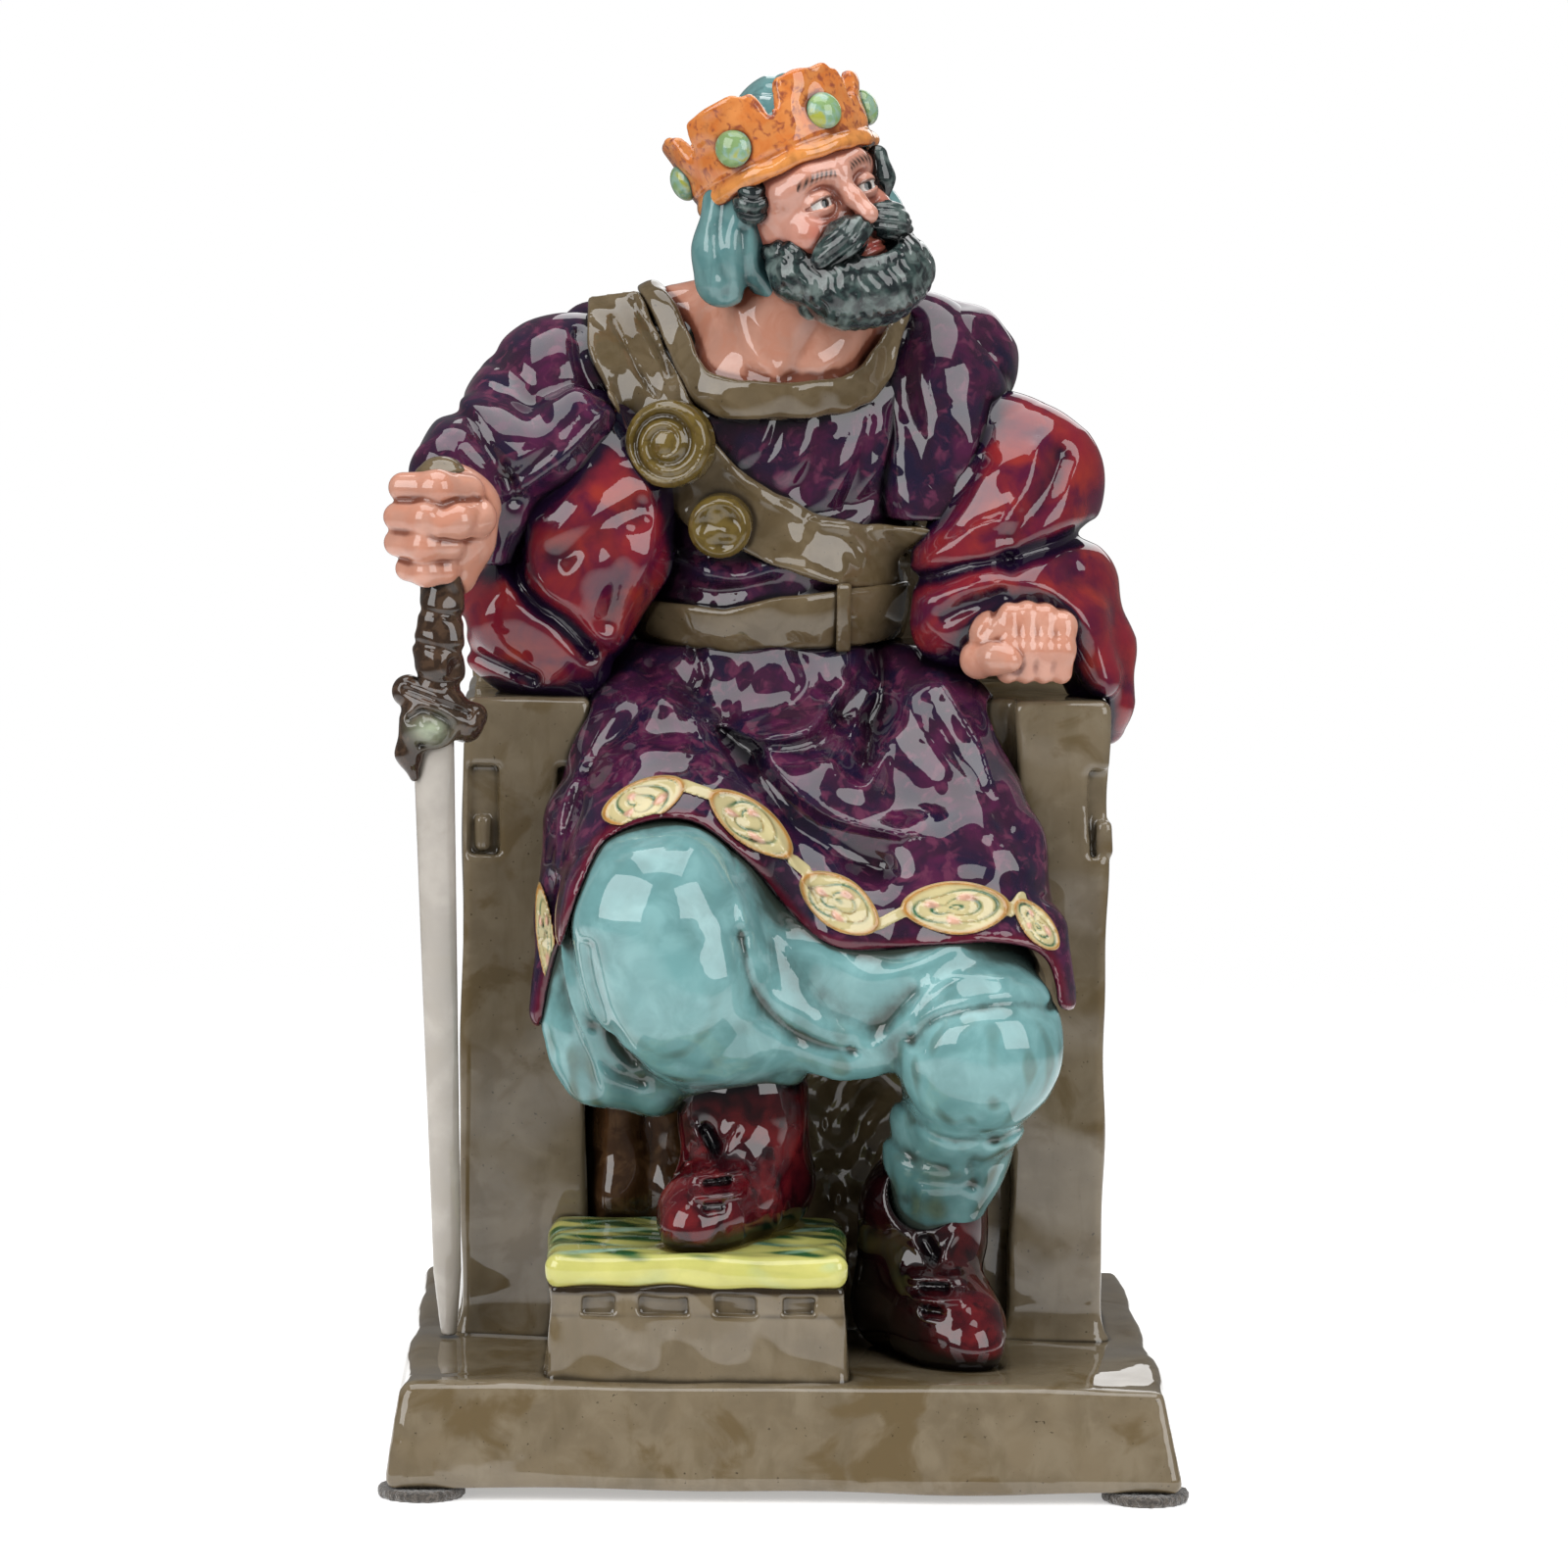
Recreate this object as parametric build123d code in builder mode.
"""Glazed china figurine of a seated king on a stone throne, as the sections it is cast and luted from.

Frame: +Z up, -Y to the front, +X to the sitter's left. The origin is the centre of the footprint, on the
surface that the felt pads stand on. All sizes are in millimetres.
"""

import os

from build123d import *

# Driving dimensions ------------------------------------------------------------------------------------------
WALL = 4.5  # thickness of a slip-cast wall
PAD_THICKNESS = 2.0
PAD_RADIUS = 8.5
PLINTH_WIDTH, PLINTH_DEPTH = 152.0, 140.0
PLINTH_HEIGHT = 20.0
PLINTH_SLOPE = 3.3  # how far each side leans in over the plinth's height
PLINTH_CORNER = 8.0
VENT_RADIUS = 3.0
DECK = PAD_THICKNESS + PLINTH_HEIGHT  # height of the plinth's top face

THRONE_HALF_WIDTH = 63.5
ARM_WIDTH = 25.0
ARM_TOP = 148.5
ARM_FRONT = -14.0
BACK_FRONT = 46.0
BACK_THICKNESS = 14.0
BACK_TOP = 190.0
SEAT_FRONT = -4.0
SEAT_TOP = 84.0
RELIEF_DEPTH = 2.0
PILASTER_STEP = 6.5

STOOL_WIDTH, STOOL_DEPTH = 56.5, 48.0
STOOL_CENTRE_X, STOOL_FRONT = -16.8, -62.0
STOOL_TOP = 39.5
COVER_TOP = 46.0
COVER_PROUD = 0.6

BAND_THICKNESS = 2.2  # belt, baldric and collar stand this far off the tunic
BELT_LOW, BELT_HIGH = 157.0, 167.5

HEAD_CENTRE = (2.1, -3.0, 244.0)
HEAD_RADIUS, HEAD_HALF_HEIGHT = 16.0, 20.0
HEAD_LEAN = (-0.36, -0.02, 0.93)  # up through the crown: the head tips to the sitter's right
HEAD_FACING = (0.55, -0.83, 0.2)  # the way the face looks, to the sitter's left
CROWN_CENTRE = (-0.2, -1.0, 249.3)
CROWN_LEAN = (-0.405, 0.15, 0.905)  # the crown is worn lower at the back than in front
CROWN_LOW_RADIUS, CROWN_TOP_RADIUS = 18.6, 20.8
CROWN_HEIGHT = 17.6
CROWN_WALL = 2.2
MERLONS = 6
MERLON_START = -28.0  # degrees from the front to the first merlon
NOTCH_WIDTH, NOTCH_DEPTH = 5.0, 5.6

os.makedirs("parts", exist_ok=True)


def write(piece, name):
    """Labels a finished piece and writes it as parts/NAME.step."""
    piece.part.label = name
    export_step(piece.part, f"parts/{name}.step")


def tube(stations):
    """A closed form lofted upward through level ellipses, each given as (centre, half width, half depth)."""
    with BuildPart() as form:
        for (x, y, z), half_width, half_depth in stations:
            with BuildSketch(Plane.XY.offset(z)):
                with Locations((x, y)):
                    Ellipse(half_width, half_depth)
        loft()
    return form.part


def limb(*balls):
    """Balls joined by cones. Each ball is (centre, radius), and no two in a row have the same radius."""
    with BuildPart() as form:
        for (start, start_radius), (end, end_radius) in zip(balls, balls[1:]):
            span = Vector(end) - Vector(start)
            with Locations(Plane(origin=start, z_dir=span)):
                Cone(start_radius, end_radius, span.length, align=(Align.CENTER, Align.CENTER, Align.MIN))
        for centre, radius in balls:
            with Locations(centre):
                Sphere(radius)
    return form.part


def disc(centre, radius, thickness, facing):
    """A flat button with rounded rims, centred on centre."""
    with BuildPart(Plane(origin=centre, z_dir=facing)) as form:
        Cylinder(radius, thickness)
        fillet(form.edges().filter_by(GeomType.CIRCLE), thickness * 0.3)
    return form.part


def fist(centre, size, lean):
    """A block with every edge well rounded, as a closed hand is."""
    with BuildPart(Plane(origin=centre, z_dir=lean)) as form:
        Box(*size)
        fillet(form.edges(), min(size) * 0.3)
    return form.part


def take_away(*others):
    """Removes other pieces from the part that is being built, so that they meet without overlapping."""
    for other in others:
        add(other, mode=Mode.SUBTRACT)


def block(low, high, mode=Mode.ADD):
    """A box between two opposite corners, added to the part that is being built."""
    size = Vector(high) - Vector(low)
    with Locations((Vector(low) + Vector(high)) * 0.5):
        Box(abs(size.X), abs(size.Y), abs(size.Z), mode=mode)


# Plinth and its four felt pads -------------------------------------------------------------------------------
with BuildPart() as plinth:
    with BuildSketch(Plane.XY.offset(PAD_THICKNESS)):
        RectangleRounded(PLINTH_WIDTH, PLINTH_DEPTH, PLINTH_CORNER)
    with BuildSketch(Plane.XY.offset(DECK)):
        RectangleRounded(PLINTH_WIDTH - 2 * PLINTH_SLOPE, PLINTH_DEPTH - 2 * PLINTH_SLOPE, PLINTH_CORNER)
    loft()
    fillet(plinth.faces().sort_by(Axis.Z)[-1].edges(), 2.0)
    # The casting is hollow, with a small hole underneath that lets air out in the kiln.
    with BuildSketch(Plane.XY.offset(PAD_THICKNESS + WALL)):
        RectangleRounded(PLINTH_WIDTH - 4 * WALL, PLINTH_DEPTH - 4 * WALL, PLINTH_CORNER)
    extrude(amount=PLINTH_HEIGHT - 2 * WALL, mode=Mode.SUBTRACT)
    with Locations((0, 0, PAD_THICKNESS + WALL / 2)):
        Cylinder(VENT_RADIUS, 2 * WALL, mode=Mode.SUBTRACT)
write(plinth, "plinth")

pad_x = PLINTH_WIDTH / 2 - PLINTH_CORNER + 1.0
pad_y = PLINTH_DEPTH / 2 - PLINTH_CORNER + 1.0
pad_places = {
    "front_right": (-pad_x, -pad_y),
    "front_left": (pad_x, -pad_y),
    "rear_right": (-pad_x, pad_y),
    "rear_left": (pad_x, pad_y),
}
for corner, place in pad_places.items():
    with BuildPart() as pad:
        with BuildSketch():
            with Locations(place):
                Circle(PAD_RADIUS)
        extrude(amount=PAD_THICKNESS)
    write(pad, f"felt_pad_{corner}")


# Throne ------------------------------------------------------------------------------------------------------
arm_inner = THRONE_HALF_WIDTH - ARM_WIDTH
back_rear = BACK_FRONT + BACK_THICKNESS


def throne_arm(side):
    """One arm rest as (outer form, hollow casting); side is +1 on the sitter's left."""
    with BuildPart() as form:
        block((side * arm_inner, ARM_FRONT, DECK), (side * THRONE_HALF_WIDTH, BACK_FRONT, ARM_TOP))
        if side > 0:
            block(
                (arm_inner, ARM_FRONT, DECK),
                (arm_inner + PILASTER_STEP, ARM_FRONT + PILASTER_STEP, ARM_TOP),
                mode=Mode.SUBTRACT,
            )
        outer_edges = form.edges().filter_by(Axis.Z).group_by(Axis.Y)[0]
        fillet(outer_edges, 1.5)
        fillet(form.edges().filter_by(Axis.X).group_by(Axis.Z)[-1].sort_by(Axis.Y)[0], 1.5)
        # Two rebates with a small raised tab in each leave a T-shaped relief on the front.
        post_x = (arm_inner + THRONE_HALF_WIDTH + (PILASTER_STEP if side > 0 else 0)) / 2
        for edge in (-1, 1):
            for low, high in ((117, 122), (126, 134)):
                x = side * post_x + edge * 7.0
                block((x - 2.5, ARM_FRONT - 1, low), (x + 2.5, ARM_FRONT + RELIEF_DEPTH, high), Mode.SUBTRACT)
    with BuildPart() as casting:
        add(form.part)
        block(
            (side * (arm_inner + WALL + (PILASTER_STEP if side > 0 else 0)), ARM_FRONT + WALL + 2, DECK + WALL),
            (side * (THRONE_HALF_WIDTH - WALL), BACK_FRONT - WALL, ARM_TOP - WALL),
            mode=Mode.SUBTRACT,
        )
    return form, casting


right_arm_form, throne_right_arm = throne_arm(-1)
left_arm_form, throne_left_arm = throne_arm(1)
write(throne_right_arm, "throne_right_arm")
write(throne_left_arm, "throne_left_arm")

with BuildPart() as throne_back:
    block((-THRONE_HALF_WIDTH, BACK_FRONT, DECK), (THRONE_HALF_WIDTH, back_rear, BACK_TOP))
    fillet(throne_back.edges().filter_by(Axis.Y).group_by(Axis.Z)[-1], 18)
    # A sunk border on the rear face.
    with BuildSketch(Plane.XZ.offset(-back_rear)):
        with Locations((0, 105)):
            RectangleRounded(98, 126, 6)
            RectangleRounded(90, 118, 4, mode=Mode.SUBTRACT)
    extrude(amount=1.5, mode=Mode.SUBTRACT)
    block(
        (-THRONE_HALF_WIDTH + WALL, BACK_FRONT + WALL, DECK + WALL),
        (THRONE_HALF_WIDTH - WALL, back_rear - WALL, BACK_TOP - 20),
        mode=Mode.SUBTRACT,
    )
write(throne_back, "throne_back")

with BuildPart() as throne_seat:
    block((-arm_inner, SEAT_FRONT, DECK), (arm_inner, BACK_FRONT, SEAT_TOP))
    block(
        (-arm_inner + WALL, SEAT_FRONT + WALL, DECK + WALL),
        (arm_inner - WALL, BACK_FRONT - WALL, SEAT_TOP - WALL),
        mode=Mode.SUBTRACT,
    )
write(throne_seat, "throne_seat")

with BuildPart() as seat_drape:
    block((-arm_inner, SEAT_FRONT - 6, DECK), (-12, SEAT_FRONT, SEAT_TOP - 4))
    fillet(seat_drape.edges().filter_by(Axis.Z).group_by(Axis.Y)[0], 2)
write(seat_drape, "seat_drape")


# Footstool ---------------------------------------------------------------------------------------------------
stool_low_x = STOOL_CENTRE_X - STOOL_WIDTH / 2
stool_high_x = STOOL_CENTRE_X + STOOL_WIDTH / 2
stool_rear = STOOL_FRONT + STOOL_DEPTH
with BuildPart() as footstool:
    block((stool_low_x, STOOL_FRONT, DECK), (stool_high_x, stool_rear, STOOL_TOP))
    fillet(footstool.edges().filter_by(Axis.Z), 1.5)
    # A row of sunk panels under the cover, with blocks left standing between them.
    with Locations((STOOL_CENTRE_X, STOOL_FRONT, STOOL_TOP - 3.6)):
        with GridLocations(13, 1, 4, 1):
            Box(8.5, 2 * 1.2, 2.4, mode=Mode.SUBTRACT)
    block(
        (stool_low_x + WALL, STOOL_FRONT + WALL, DECK + WALL),
        (stool_high_x - WALL, stool_rear - WALL, STOOL_TOP - WALL),
        mode=Mode.SUBTRACT,
    )
write(footstool, "footstool")

with BuildPart() as footstool_cover:
    block(
        (stool_low_x - COVER_PROUD, STOOL_FRONT - COVER_PROUD, STOOL_TOP),
        (stool_high_x + COVER_PROUD, stool_rear, COVER_TOP),
    )
    fillet(footstool_cover.edges().filter_by(Axis.Z), 2)
    fillet(footstool_cover.faces().sort_by(Axis.Z)[-1].edges(), 2.5)
write(footstool_cover, "footstool_cover")


# Tunic body, neck, skirt -------------------------------------------------------------------------------------
TORSO_STATIONS = (  # height, centre x, centre y, half width, half depth
    (157.0, -4.0, 18.0, 26.0, 26.0),
    (178.0, -5.0, 17.0, 31.0, 27.0),
    (198.0, -6.0, 18.0, 38.0, 26.0),
    (213.0, -5.0, 21.0, 40.0, 22.0),
    (224.0, -4.0, 23.0, 32.0, 15.0),
)


def torso_shape(grow):
    """The tunic's upper body with every wall moved out by grow."""
    return tube([((x, y, z), w + grow, d + grow) for z, x, y, w, d in TORSO_STATIONS])


def neck_shape(grow, top):
    """The neck and the bare chest below it, as far up as top, with every wall moved out by grow."""
    stations = [((-2, 9, 206), 20, 17), ((-1, 7, 216), 19, 16), ((1, 3, 230), 13, 13), ((2, 1, 238), 11, 11)]
    return tube([(centre, w + grow, d + grow) for centre, w, d in stations if centre[2] <= top])


neck_form = neck_shape(0, 238)
torso_form = torso_shape(0)
band_form = torso_shape(BAND_THICKNESS)

with BuildPart() as tunic_body:
    add(torso_form)
    hollow = tube([((x, y, z + WALL), w - 2 * WALL, d - 2 * WALL) for z, x, y, w, d in TORSO_STATIONS[:3]])
    add(hollow, mode=Mode.SUBTRACT)
    take_away(neck_form)
write(tunic_body, "tunic_body")

with BuildPart() as neck:
    add(neck_form)
write(neck, "neck")

with BuildPart() as tunic_skirt:
    add(limb(((-13, 22, 143), 19), ((-24, -30, 123), 17.5)))
    add(limb(((-4, 18, 150), 25), ((4, -26, 116), 15)))
    add(limb(((12, 22, 140), 19.5), ((36, -30, 108), 17)))
    block((-60, -60, TORSO_STATIONS[0][0]), (60, 60, 200), mode=Mode.SUBTRACT)
    take_away(right_arm_form.part, left_arm_form.part, throne_back.part)
    block((-arm_inner, SEAT_FRONT, DECK), (arm_inner, BACK_FRONT, SEAT_TOP), mode=Mode.SUBTRACT)
write(tunic_skirt, "tunic_skirt")


# Legs, trousers and boots ------------------------------------------------------------------------------------
right_boot_form = limb(((-9, -28, 72), 12.5), ((-8, -27, 58), 11.5), ((-14, -41, 53), 8.5), ((-19, -52, 50), 5))
left_boot_form = limb(((28, -23, 52), 12.5), ((28, -23, 34), 11.8), ((33, -36, 30), 9), ((37, -46, 27), 5.5))
right_leg_form = limb(((-25, -44, 108), 15), ((-23, -43, 97), 16.5), ((-12, -32, 82), 13.2))
left_leg_form = limb(((38, -44, 86), 13.5), ((36, -39, 76), 14), ((28, -25, 60), 11.2))
drape_form = limb(((-12, -36, 92), 9), ((8, -32, 88), 8), ((26, -33, 86), 8.5))

with BuildPart() as right_trouser_leg:
    add(right_leg_form)
    take_away(tunic_skirt.part, right_arm_form.part, right_boot_form, throne_seat.part)
with BuildPart() as left_trouser_leg:
    add(left_leg_form)
    take_away(tunic_skirt.part, left_arm_form.part, left_boot_form)
with BuildPart() as trouser_drape:
    add(drape_form)
    take_away(right_leg_form, left_leg_form, tunic_skirt.part, right_boot_form)
write(right_trouser_leg, "right_trouser_leg")
write(left_trouser_leg, "left_trouser_leg")
write(trouser_drape, "trouser_drape")

with BuildPart() as right_boot:
    add(right_boot_form)
    take_away(seat_drape.part, throne_seat.part)
    block((-60, -70, 0), (60, 0, COVER_TOP), mode=Mode.SUBTRACT)
with BuildPart() as left_boot:
    add(left_boot_form)
    block((-60, -70, 0), (60, 0, DECK), mode=Mode.SUBTRACT)
    take_away(throne_seat.part)
write(right_boot, "right_boot")
write(left_boot, "left_boot")

with BuildPart() as boot_laces:
    for x, y, z in ((-11, -38, 65), (-13, -41, 61), (29, -36, 44), (31, -38, 40)):
        with Locations(Plane(origin=(x, y, z), z_dir=(1, -0.2, 0))):
            Cylinder(1.6, 12)
    take_away(right_boot_form, left_boot_form)
write(boot_laces, "boot_laces")


# Hem medallions ----------------------------------------------------------------------------------------------
with BuildPart() as hem_medallions:
    for x, y, z in ((-30, -44, 125), (-13, -47, 118), (6, -50, 108), (26, -51, 105), (42, -48, 104)):
        add(disc((x, y, z), 5.5, 5, (0, -1, 0.25)))
    take_away(tunic_skirt.part, right_leg_form, left_leg_form, drape_form)
write(hem_medallions, "hem_medallions")


# Arms and hands ----------------------------------------------------------------------------------------------
right_hand_form = fist((-68.5, -32, 181.5), (17, 17, 22), (0.1, 0.1, 1))
left_hand_form = fist((46, -11, 158.5), (20, 17, 18), (0.1, 0, 1))
right_oversleeve_form = limb(((-34, 18, 214), 13), ((-50, 10, 207), 13.5), ((-61, -4, 199), 12), ((-66, -15, 191), 8))
left_oversleeve_form = limb(((31, 18, 215), 12.5), ((43, 17, 203), 13))
with BuildPart() as right_oversleeve:
    add(right_oversleeve_form)
    take_away(band_form, right_hand_form, throne_back.part)
write(right_oversleeve, "right_oversleeve")
with BuildPart() as left_oversleeve:
    add(left_oversleeve_form)
    take_away(band_form, throne_back.part)
write(left_oversleeve, "left_oversleeve")

with BuildPart() as right_sleeve:
    add(limb(((-43, 2, 192), 14), ((-46, 0, 172), 15.5), ((-48, 2, 160), 12.5)))
    take_away(band_form, right_oversleeve_form, right_hand_form, tunic_skirt.part, right_arm_form.part)
write(right_sleeve, "right_sleeve")
with BuildPart() as left_sleeve:
    add(limb(((46, 16, 190), 15.5), ((47, 8, 172), 16.5), ((52, 4, 160), 14), ((59, 10, 149), 8)))
    take_away(band_form, left_oversleeve_form, left_hand_form, tunic_skirt.part, left_arm_form.part)
    take_away(throne_back.part)
write(left_sleeve, "left_sleeve")

with BuildPart() as left_hand:
    add(left_hand_form)
    take_away(left_arm_form.part)
write(left_hand, "left_hand")


# Sword -------------------------------------------------------------------------------------------------------
GRIP_FOOT, GRIP_HEAD = (-68.0, -32.5, 148.0), (-67.0, -31.5, 190.0)
GRIP_LENGTH = 42.0
BLADE_TOP, BLADE_TIP = (-68.5, -32.0, 143.0), (-65.4, -20.0, 23.5)
with BuildPart() as sword_grip:
    with Locations(Plane(origin=GRIP_FOOT, z_dir=Vector(GRIP_HEAD) - Vector(GRIP_FOOT))):
        Cone(4.6, 3.4, GRIP_LENGTH, align=(Align.CENTER, Align.CENTER, Align.MIN))
with BuildPart() as sword_pommel:
    with Locations((-67.3, -30, 192.5)):
        Sphere(4.8)
    take_away(sword_grip.part)
with BuildPart() as right_hand:
    add(right_hand_form)
    take_away(sword_grip.part, sword_pommel.part)
with BuildPart() as sword_crossguard:
    add(fist((-67.5, -32.5, 144.5), (15, 7, 7), (0.25, 0, 1)))
    with Locations(Plane(origin=(-70.5, -32.5, 146), z_dir=(-0.2, 0, -1))):
        Cone(3, 1, 12, align=(Align.CENTER, Align.CENTER, Align.MIN))
    take_away(sword_grip.part)
with BuildPart() as sword_blade:
    for (x, y, z), half_width, half_thickness in ((BLADE_TOP, 3.8, 1.5), (BLADE_TIP, 2.2, 1.0)):
        with BuildSketch(Plane.XY.offset(z)):
            with Locations((x, y)):
                Rectangle(2 * half_width, 2 * half_thickness)
    loft()
    take_away(sword_crossguard.part, right_arm_form.part)
for piece, name in (
    (sword_grip, "sword_grip"),
    (sword_pommel, "sword_pommel"),
    (right_hand, "right_hand"),
    (sword_crossguard, "sword_crossguard"),
    (sword_blade, "sword_blade"),
):
    write(piece, name)


# Collar, baldric, belt and their brooches --------------------------------------------------------------------
with BuildPart() as collar:
    add(neck_shape(3.5, 220))
    take_away(neck_form, torso_form, right_oversleeve_form, left_oversleeve_form)
write(collar, "collar")

with BuildPart() as baldric:
    add(band_form)
    take_away(torso_form, collar.part, neck_form)
    with BuildSketch(Plane.XZ):
        with BuildLine():
            Polyline((-45, 228), (-27, 204), (-19, 186), (-13, 176), (6, 172.5), (30, 168.5))
            Polyline((30, 168.5), (30, 181), (9, 184), (-6, 189), (-14, 197), (-20, 209), (-32, 230), (-45, 228))
        make_face()
    extrude(amount=20, mode=Mode.INTERSECT)
write(baldric, "baldric")

with BuildPart() as belt:
    add(band_form)
    take_away(torso_form)
    block((-50, -30, BELT_LOW), (50, BACK_FRONT, BELT_HIGH), mode=Mode.INTERSECT)
write(belt, "belt")

with BuildPart() as belt_tongue:
    block((9, -12.5, BELT_LOW), (14, -7, BELT_HIGH + 1.5))
    fillet(belt_tongue.edges().filter_by(Axis.Y), 1.0)
    take_away(band_form)
write(belt_tongue, "belt_tongue")

with BuildPart() as large_brooch:
    add(disc((-23.5, -9.5, 198.5), 8.8, 8, (-0.2, -1, 0.1)))
    take_away(band_form)
with BuildPart() as small_brooch:
    add(disc((-13.5, -11.5, 182.5), 6, 6, (-0.1, -1, 0)))
    take_away(band_form, large_brooch.part)
write(large_brooch, "large_brooch")
write(small_brooch, "small_brooch")


# Head, hair and crown ----------------------------------------------------------------------------------------
crown_plane = Plane(origin=CROWN_CENTRE, x_dir=(0, -1, 0.16), z_dir=CROWN_LEAN)
facing = Plane(origin=HEAD_CENTRE, x_dir=HEAD_FACING, z_dir=HEAD_LEAN)


def at_head(forward, sideways, up):
    """A point given along the face's own axes, from the middle of the skull."""
    return facing.from_local_coords((forward, sideways, up))


head_form = limb((at_head(0, 0, 2), HEAD_RADIUS), (at_head(3, 0, -9), HEAD_RADIUS - 3.5))


def crown_cone(shrink):
    """The crown's outer form, or its hollow when shrink is the thickness of its wall."""
    with BuildPart(crown_plane) as form:
        Cone(
            CROWN_LOW_RADIUS - shrink,
            CROWN_TOP_RADIUS - shrink,
            CROWN_HEIGHT,
            align=(Align.CENTER, Align.CENTER, Align.MIN),
        )
    return form.part


with BuildPart() as crown:
    add(crown_cone(0))
    take_away(crown_cone(CROWN_WALL))
    with Locations(crown_plane.offset(CROWN_HEIGHT)):
        with PolarLocations(CROWN_TOP_RADIUS, MERLONS, start_angle=MERLON_START + 180 / MERLONS):
            Box(12, NOTCH_WIDTH, 2 * NOTCH_DEPTH, mode=Mode.SUBTRACT)
with BuildPart() as crown_jewels:
    with Locations(crown_plane.offset(CROWN_HEIGHT * 0.42)):
        with PolarLocations(CROWN_LOW_RADIUS + 1.6, MERLONS, start_angle=MERLON_START):
            Sphere(3.3)
    take_away(crown_cone(0))
write(crown, "crown")
write(crown_jewels, "crown_jewels")

with BuildPart() as head:
    add(head_form)
    take_away(neck_form, crown.part)
write(head, "head")

with BuildPart() as hood:
    add(limb((at_head(-1.5, 0, 3), HEAD_RADIUS + 2.2), (at_head(-2, 0, -12), HEAD_RADIUS - 1)))
    with Locations(facing):
        Box(60, 60, 80, align=(Align.MIN, Align.CENTER, Align.CENTER), mode=Mode.SUBTRACT)
    take_away(head_form, neck_form, crown.part, crown_jewels.part, band_form, collar.part)
write(hood, "hood")

with BuildPart() as hair_locks:
    for side in (-1, 1):
        add(limb((at_head(4, side * 14.5, 3), 3), (at_head(5, side * 13.5, -5), 2.6)))
    take_away(head_form, crown.part, crown_jewels.part)
write(hair_locks, "hair_locks")

with BuildPart() as beard:
    add(limb((at_head(6, 12, -10), 5), (at_head(12, 0, -15.2), 9.5), (at_head(6, -12, -10), 5.1)))
    take_away(head_form, neck_form, collar.part, hair_locks.part)
with BuildPart() as moustache:
    add(limb((at_head(13.5, 7.5, -8), 2), (at_head(16, 0, -5.5), 2.8), (at_head(13.5, -7.5, -8), 2.1)))
    take_away(head_form, beard.part)
write(beard, "beard")
write(moustache, "moustache")
